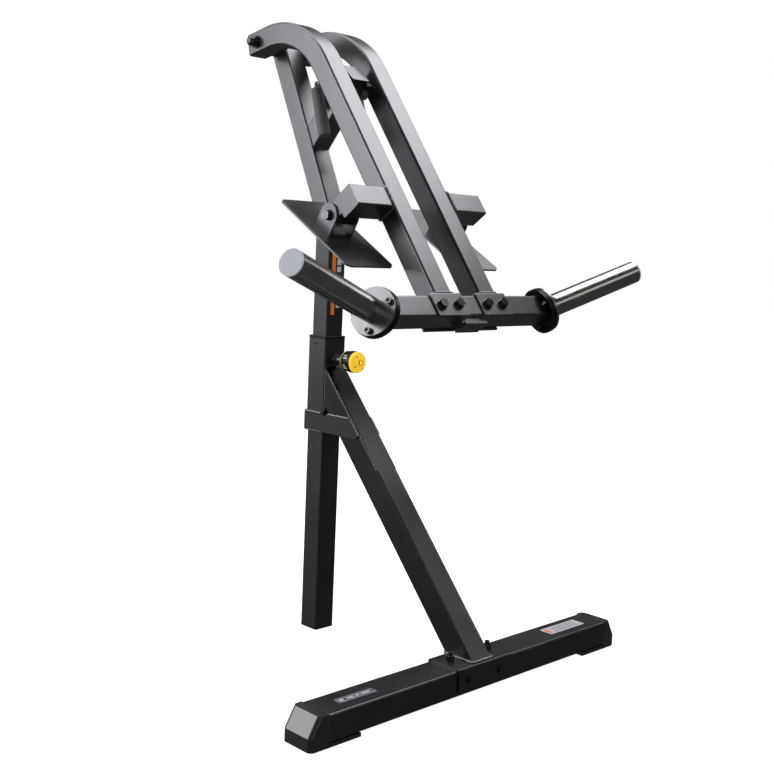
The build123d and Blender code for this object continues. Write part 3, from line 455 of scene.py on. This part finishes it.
def bead(bm, points, radius, closed, pitch):
    """A weld bead along a polyline, its ripples like overlapping coins."""
    path = resample([Vector(p) * MM for p in points], BEAD_STEP * MM, closed)
    count = len(path)
    rings = []
    for i, point in enumerate(path):
        if closed:
            before, after = path[i - 1], path[(i + 1) % count]
        else:
            before, after = path[max(0, i - 1)], path[min(count - 1, i + 1)]
        tangent = (after - before).normalized()
        reference = UPWARD if abs(tangent.z) < 0.9 else ACROSS
        u = tangent.cross(reference).normalized()
        v = u.cross(tangent).normalized()
        ripples = i * BEAD_STEP / pitch
        phase = ripples - math.floor(ripples)
        swell = (0.80 + 0.26 * math.sqrt(1 - (2 * phase - 1) ** 2)
                 + 0.05 * math.sin(ripples * 1.7))
        if not closed:
            # Open beads taper at both ends.
            to_end = min(i, count - 1 - i) * BEAD_STEP
            taper = math.sqrt(min(1.0, to_end / (radius * 1.1)))
            swell *= min(1.0, 0.25 + 0.75 * taper)
        ring = []
        for k in range(BEAD_SIDES):
            angle = 2 * math.pi * k / BEAD_SIDES
            spoke = u * math.cos(angle) + v * math.sin(angle)
            ring.append(bm.verts.new(point + spoke * (radius * MM) * swell))
        rings.append(ring)
    for i in range(count if closed else count - 1):
        a, b = rings[i], rings[(i + 1) % count]
        for k in range(BEAD_SIDES):
            j = (k + 1) % BEAD_SIDES
            bm.faces.new((a[k], a[j], b[j], b[k]))
    if not closed:
        bm.faces.new(tuple(reversed(rings[0])))
        bm.faces.new(tuple(rings[-1]))


def welds(name, body, runs, radius, closed=False, pitch=3.2):
    bm = bmesh.new()
    for run in runs:
        bead(bm, run, radius, closed, pitch)
    finish_mesh(bm, name, WELD, body)


# The levers' slope: a point at the top, the way down to the front, and the normal.
LEVER_TOP = Vector((0, 148.2, 1600.0))
LEVER_ALONG = Vector((0, -0.59158, -0.80624))
LEVER_OUT = Vector((0, 0.80624, -0.59158))
# The column's upper slope: the way up to the rear, and the normal.
MAST_ALONG = Vector((0, 0.4272, 0.9042))
MAST_OUT = Vector((0, 0.9042, -0.4272))


def on_lever(x, along, out):
    point = LEVER_TOP + LEVER_ALONG * along + LEVER_OUT * out
    return (x, point.y, point.z)


def collar_path(half, z):
    """Round the two sides and the rear of the post, with cut corners."""
    front, corner = -27, 29
    return [(-half, front, z), (-half, corner, z), (-corner, half, z),
            (corner, half, z), (half, corner, z), (half, front, z)]


def stand_welds():
    collar_top, collar_bottom = 518.6, 475.6
    welds("weld_collar_rear", "stand", [collar_path(32.6, collar_top)],
          radius=3.1, pitch=4.2)
    welds("weld_collar_front", "stand",
          [[(s * 31.6, -46, collar_top), (s * 31.6, -123.5, collar_top)] for s in (-1, 1)],
          radius=2.9, pitch=4.2)
    welds("weld_collar_under", "stand", [collar_path(32.4, collar_bottom)], radius=1.9)
    foot = rect_loop((0, -482.9, 68.4), ACROSS, REARWARD, half_u=31.2, half_v=41.2, radius=6)
    welds("weld_brace_foot", "stand", [foot], radius=3.2, closed=True, pitch=4.4)
    welds("weld_brace_head", "stand",
          [[(s * 28.5, -31.6, 524), (s * 28.5, -31.6, 618)] for s in (-1, 1)], radius=2.0)


def lever_joint_welds():
    arms = [rect_loop(on_lever(s * 93.6, along=732.5, out=25), LEVER_ALONG, LEVER_OUT,
                      half_u=26.0, half_v=26.0, radius=4.5) for s in (-1, 1)]
    welds("weld_side_arms", "lever", arms, radius=3.0, closed=True, pitch=4.2)
    feet = [rect_loop(on_lever(s * 67.75, along=968.1, out=25), ACROSS, LEVER_OUT,
                      half_u=25.9, half_v=25.9, radius=4.5) for s in (-1, 1)]
    welds("weld_lever_feet", "lever", feet, radius=2.6, closed=True, pitch=4.0)


def grip_arm_weld():
    centre = Vector((0, 58.45, 1150)) - MAST_OUT * 0.6
    loop = rect_loop(centre, ACROSS, MAST_ALONG, half_u=25.4, half_v=27.6, radius=4.5)
    welds("weld_grip_arm", "column", [loop], radius=2.6, closed=True, pitch=4.0)


def brace_seams():
    """A straight seam along each side of the brace, just behind its front face."""
    foot, along, out = Vector(BRACE_FOOT), Vector(BRACE_ALONG), Vector(BRACE_OUT)
    seams = [[foot + along * t + out * -1.6 + ACROSS * (s * 28.9) for t in (470, 735)]
             for s in (-1, 1)]
    welds("seam_brace", "stand", seams, radius=1.25, pitch=2.6)


def mast_kink_weld():
    loop = rect_loop((0, 0, 967.6), ACROSS, Vector((0, 1, -0.2243)),
                     half_u=24.9, half_v=25.5, radius=4.0)
    welds("weld_mast_kink", "column", [loop], radius=1.2, closed=True, pitch=2.2)


def barrel_welds():
    """Nearly half a turn under each end of the pivot barrel."""
    centre_y, centre_z, radius = 180.5, 1362.5, 25.4
    down_mast = math.atan2(-MAST_ALONG.z, -MAST_ALONG.y)
    angles = [down_mast + math.radians(degrees) for degrees in range(-86, 87, 4)]
    for side_name, side in (("left", -1), ("right", 1)):
        arc = [(side * 25.2, centre_y + radius * math.cos(a), centre_z + radius * math.sin(a))
               for a in angles]
        welds("weld_barrel_" + side_name, "column", [arc], radius=2.0)


def grip_rod_welds():
    angles = [math.radians(20 * k) for k in range(18)]
    loops = [[(s * 25.4, -3 + 6.6 * math.cos(a), 1213 + 8.4 * math.sin(a)) for a in angles]
             for s in (-1, 1)]
    welds("weld_grip_rods", "column", loops, radius=1.6, closed=True, pitch=2.4)


def stop_lug_welds():
    down = Vector((0, 0.452, -0.892))
    along = Vector((0, 0.892, 0.452))
    lug = Vector((0, -51.0, 1245.2)) - down * 18.15
    runs = [[lug + ACROSS * (s * 42.4) - down * 5.6 + along * k for k in (-10.5, 10.5)]
            for s in (-1, 1)]
    welds("weld_stop_lugs", "lever", runs, radius=1.7)


def centre_plate_welds():
    runs = [[on_lever(x, along=1023.8, out=6.4) for x in ends] for ends in ((-40, -18), (-4, 20))]
    welds("weld_centre_plate", "lever", runs, radius=0.8)


stand_welds()
lever_joint_welds()
grip_arm_weld()
brace_seams()
mast_kink_weld()
barrel_welds()
grip_rod_welds()
stop_lug_welds()
centre_plate_welds()


# ------------------------------------------------------------------ flat prints
def patch(bm, centre, up, width, height, thickness, corner, ink):
    """A thin raised patch with rounded corners and a slightly spread foot."""
    out = ACROSS.cross(up)
    spread, foot = 0.15, 0.02
    outline = rounded_rect(width / 2, height / 2, corner)
    top = [bm.verts.new((centre + ACROSS * x + up * y + out * thickness) * MM)
           for x, y in outline]
    bottom = [bm.verts.new((centre + ACROSS * (x + math.copysign(spread, x))
                            + up * (y + math.copysign(spread, y)) + out * foot) * MM)
              for x, y in outline]
    faces = [bm.faces.new(top)]
    for i in range(len(outline)):
        j = (i + 1) % len(outline)
        faces.append(bm.faces.new((top[i], bottom[i], bottom[j], top[j])))
    for face in faces:
        face.material_index = ink


def prints(name, body, inks, origin, up, rows):
    """Rows are (x, y, lift, width, height, thickness, corner, index of the ink)."""
    bm = bmesh.new()
    for x, y, lift, *shape in rows:
        centre = Vector(origin) + ACROSS * x + up * y + ACROSS.cross(up) * lift
        patch(bm, centre, up, *shape)
    ob = finish_mesh(bm, name, inks[0], body, smooth=False)
    for ink in inks[1:]:
        ob.data.materials.append(ink)


def column_print():
    """An orange bar up the column's front with white marks beside it."""
    # (x, z, width, height) of the white marks
    marks = ((6.5, 768, 12, 12), (6.5, 784, 12, 12), (6.5, 800, 12, 12),
             (3.0, 822, 5, 24), (10.0, 822, 5, 24),
             (6.5, 850, 12, 12), (6.5, 866, 12, 12), (6.5, 882, 12, 12))
    rows = [(-9.5, 822, 0, 10.5, 152, 0.25, 1.2, 0)]
    rows += [(x, z, 0, width, height, 0.25, 0.8, 1) for x, z, width, height in marks]
    prints("print_column", "column", [ORANGE_INK_GLOWING, WHITE_INK_GLOWING], (0, -25.0, 0), UPWARD, rows)


LABEL_Z = 63.0


def left_label():
    rows = [(0, 0, 0, 96, 20, 0.16, 3.0, 0),
            (4, 0, 0.14, 84, 3.0, 0.10, 1.2, 2),
            (-36, 0, 0.26, 9, 8, 0.08, 3.8, 1)]
    rows += [(x, 0, 0.26, width, 4.2, 0.08, 0.8, 1) for x, width in ((-14, 16), (4, 9), (25, 22))]
    prints("label_left", "stand", [SILVER_INK, WHITE_INK_GLOWING, DARK_INK_AND_SHADE],
           (-326.0, -490.0, LABEL_Z), REARWARD, rows)


def right_label():
    rows = [(0, 0, 0, 122, 34, 0.16, 2.5, 1),
            (-52, 0, 0.14, 9, 24, 0.12, 1.0, 0)]
    for k in range(4):
        odd = k % 2
        rows.append((6 + odd * 4, -10.5 + k * 7.0, 0.14, 94 - odd * 16, 2.0, 0.12, 0.6, 2))
    prints("label_right", "stand", [ORANGE_INK_GLOWING, WHITE_INK_GLOWING, GREY_INK],
           (318.0, -486.0, LABEL_Z), REARWARD, rows)


column_print()
left_label()
right_label()


# ------------------------------------------------------------------ knob marks
KNOB_Z = 643.5


def surface_of(node):
    mesh = cad_nodes[node].data
    return BVHTree.FromPolygons([v.co.copy() for v in mesh.vertices],
                                [tuple(p.vertices) for p in mesh.polygons])


def wrap(bm, surface, centre, across, up, cells, curve=None):
    """Casts cells (x0, x1, y0, y1) onto a surface, against the normal of across and up.
    `curve` bends the cells' coordinates first."""
    cell_size, cast_from, reach, lift = 1.5, 30.0, 80.0, 0.15
    centre, across, up = Vector(centre), across.normalized(), up.normalized()
    out = across.cross(up)
    for x0, x1, y0, y1 in cells:
        columns = max(1, int((x1 - x0) / cell_size))
        rows = max(1, int((y1 - y0) / cell_size))
        grid = []
        for i in range(columns + 1):
            line = []
            for j in range(rows + 1):
                x = x0 + (x1 - x0) * i / columns
                y = y0 + (y1 - y0) * j / rows
                if curve:
                    x, y = curve(x, y)
                source = (centre + across * x + up * y + out * cast_from) * MM
                point, normal, *_ = surface.ray_cast(source, -out, reach * MM)
                line.append(None if point is None
                            else bm.verts.new(point + normal * lift * MM))
            grid.append(line)
        for i in range(columns):
            for j in range(rows):
                quad = (grid[i][j], grid[i + 1][j], grid[i + 1][j + 1], grid[i][j + 1])
                if all(quad):
                    bm.faces.new(quad)
    loose = [v for v in bm.verts if not v.link_faces]
    bmesh.ops.delete(bm, geom=loose, context="VERTS")


def knob_cap_marks_and_recess_shade():
    """Four ticks round the crown, a square outline, and a dark patch at the centre that is
    painted shade in the crown's recess.
    """
    bm = bmesh.new()
    surface = surface_of("knob_cap")
    centre = (0, -117.0, KNOB_Z)
    for k in range(4):
        start = math.radians(90 * k + 35)

        def around(x, y):
            angle = start + y * 0.055
            return x * math.cos(angle), x * math.sin(angle)

        wrap(bm, surface, centre, ACROSS, UPWARD, [(14.5, 18.0, -1.4, 1.4)], curve=around)
    # The last cell, a dark patch at the centre, lies in the crown's recess: painted shade.
    wrap(bm, surface, centre, ACROSS, UPWARD,
         [(-5.6, 5.6, 3.9, 5.4), (-5.6, 5.6, -5.4, -3.9), (-5.4, -3.9, -4.0, 4.0),
          (3.9, 5.4, -4.0, 4.0), (-1.8, 1.8, -2.6, 2.6)])
    finish_mesh(bm, "knob_marks_and_recess_shade", DARK_INK_AND_SHADE, "pop_pin")


def knob_body_marks():
    """Pairs of light bars at four places round the body."""
    bm = bmesh.new()
    surface = surface_of("knob_body")
    for degrees in (150, 205, 20, 320):
        angle = math.radians(degrees)
        normal = Vector((math.cos(angle), 0, math.sin(angle)))
        forward = Vector((0, -1, 0))
        wrap(bm, surface, Vector((0, -88.5, KNOB_Z)) + normal * 20, forward,
             normal.cross(forward), [(-6.5, 6.5, -5.5, -1.5), (-6.5, 3.0, 1.0, 4.5)])
    finish_mesh(bm, "knob_body_marks", WHITE_INK_GLOWING, "pop_pin")


knob_cap_marks_and_recess_shade()
knob_body_marks()


# ------------------------------------------------------------------ camera, floor and light
def add_camera():
    """In front and to the left, looking to the rear right and slightly down."""
    heading = math.radians(44.412895)
    pitch = math.radians(6.965949)
    roll = math.radians(2.498223)
    forward = Vector((math.sin(heading) * math.cos(pitch),
                      math.cos(heading) * math.cos(pitch), -math.sin(pitch)))
    level = Vector((math.cos(heading), -math.sin(heading), 0))
    upright = level.cross(forward)
    right = level * math.cos(roll) + upright * math.sin(roll)
    up = -level * math.sin(roll) + upright * math.cos(roll)
    camera = bpy.data.objects.new("camera", bpy.data.cameras.new("camera"))
    scene.collection.objects.link(camera)
    matrix = Matrix((right, up, -forward)).transposed().to_4x4()
    matrix.translation = Vector((-1.749145, -1.990903, 0.904620))
    camera.matrix_world = matrix
    camera.data.sensor_width = 36
    camera.data.lens = 53.0576279
    camera.data.clip_start = 0.05
    camera.data.clip_end = 60
    scene.camera = camera


def add_floor():
    """A pale glowing floor that casts no light or reflection on the machine."""
    bm = bmesh.new()
    bmesh.ops.create_grid(bm, x_segments=8, y_segments=8, size=14)
    mesh = bpy.data.meshes.new("floor")
    bm.to_mesh(mesh)
    bm.free()
    floor = bpy.data.objects.new("floor", mesh)
    floor.location = (0, 0, -0.0005)
    scene.collection.objects.link(floor)
    m = Material("floor_pale")
    mottle = m.noise(scale=1.2, detail=2, rough=0.5)
    mesh.materials.append(m.finish(
        Base_Color=m.mix(mottle, (0.86, 0.86, 0.865), (0.90, 0.90, 0.905)), Roughness=0.85,
        Specular_IOR_Level=0.1, Emission_Color=WHITE, Emission_Strength=0.98))
    floor.visible_glossy = False
    floor.visible_diffuse = False


# (name, place, point aimed at, width, height, radiance)
PANELS = (
    ("panel_top_right", (1.58, -0.36, 3.48), (0, -0.1, 1.0), 2.3, 1.96, 2.9),
    ("panel_left_back", (-2.95, 1.95, 1.95), (0, 0, 1.15), 2.2, 2.2, 2.0),
    ("panel_overhead", (-0.6, 0.9, 3.6), (0, 0, 0), 2.0, 2.0, 1.8),
    ("panel_right_side", (3.3, -0.1, 1.75), (0, -0.4, 0.9), 1.6, 0.55, 1.6),
    ("panel_front_right", (1.35, -3.0, 2.1), (0.4, -0.4, 0.85), 0.6, 0.8, 1.0),
    ("panel_front_low", (-1.4, -3.4, 1.6), (0, 0, 0.7), 1.6, 1.6, 0.5),
)


def add_panel(name, place, target, width, height, radiance):
    light = bpy.data.lights.new(name, "AREA")
    light.shape = "RECTANGLE"
    light.size, light.size_y = width, height
    light.energy = radiance * math.pi * width * height
    panel = bpy.data.objects.new(name, light)
    scene.collection.objects.link(panel)
    panel.location = place
    panel.rotation_mode = "QUATERNION"
    panel.rotation_quaternion = (Vector(target) - Vector(place)).to_track_quat("-Z", "Y")


# (position from the dark side to the bright side, grey)
SKY_STOPS = ((0.0, 0.05), (0.55, 0.05), (0.78, 0.07), (0.85, 0.20), (0.92, 0.30))
SKY_BRIGHT_SIDE = (-0.35, 0.79, 0.50)


def add_world():
    """White to the camera; dim, and brighter high at the rear, to everything else."""
    world = bpy.data.worlds.new("studio")
    scene.world = world
    world.use_nodes = True
    graph = NodeGraph(world.node_tree)
    direction = graph.node("TexCoord").outputs["Generated"]
    toward = graph.vector("DOT_PRODUCT", direction, SKY_BRIGHT_SIDE)
    sky = graph.ramp(graph.remap(toward, over=(-1, 1)), SKY_STOPS, blue=1.04)
    lighting = graph.node("Background", {"Color": sky}).outputs[0]
    backdrop = graph.node("Background", {"Color": WHITE, "Strength": 1.0}).outputs[0]
    to_camera = graph.node("LightPath").outputs["Is Camera Ray"]
    mixed = graph.node("MixShader", {0: to_camera, 1: lighting, 2: backdrop}).outputs[0]
    graph.node("OutputWorld", {0: mixed})


add_camera()
add_floor()
for panel_row in PANELS:
    add_panel(*panel_row)
add_world()
